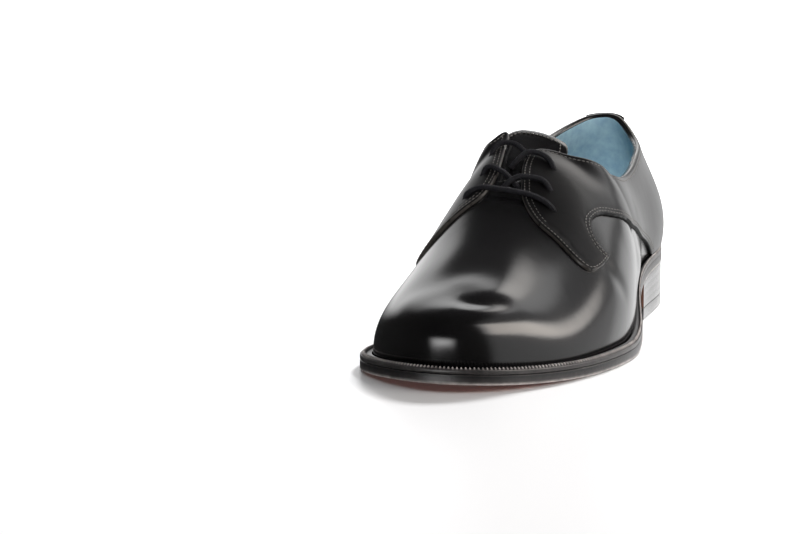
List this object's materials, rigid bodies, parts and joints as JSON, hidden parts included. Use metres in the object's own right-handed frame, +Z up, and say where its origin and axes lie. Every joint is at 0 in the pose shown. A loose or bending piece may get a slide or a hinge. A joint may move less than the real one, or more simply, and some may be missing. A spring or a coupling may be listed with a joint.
{
  "type": "dress shoe",
  "caption": "Left open-laced leather dress shoe: hollow lasted upper, quarters with rounded tabs, tongue, welted leather sole and stacked heel.",
  "frame": {"origin": "on the floor, under the middle of the shoe's plan box", "axes": "+Z up, toe towards -Y, outer side of the foot towards +X"},
  "size_m": [0.1126, 0.2936, 0.0957],
  "materials": {
    "calf": "polished black calf",
    "sock": "dark red-brown insole leather",
    "edge": "dyed black welt",
    "sole": "reddish tan sole leather, edge dyed black",
    "stack": "stacked leather, sides dyed black",
    "rubber": "matt black",
    "lace": "waxed round cord"
  },
  "bodies": {
    "root": {"upper": "calf", "quarter_outer": "calf", "quarter_inner": "calf", "backstay": "calf", "tongue": "calf", "outsole": "sole", "welt": "edge", "insole": "sock", "heel": "stack", "heel_top_piece": "rubber", "lace_bar": "lace", "lace_cross_low": "lace", "lace_cross_high": "lace"}
  },
  "joints": []
}
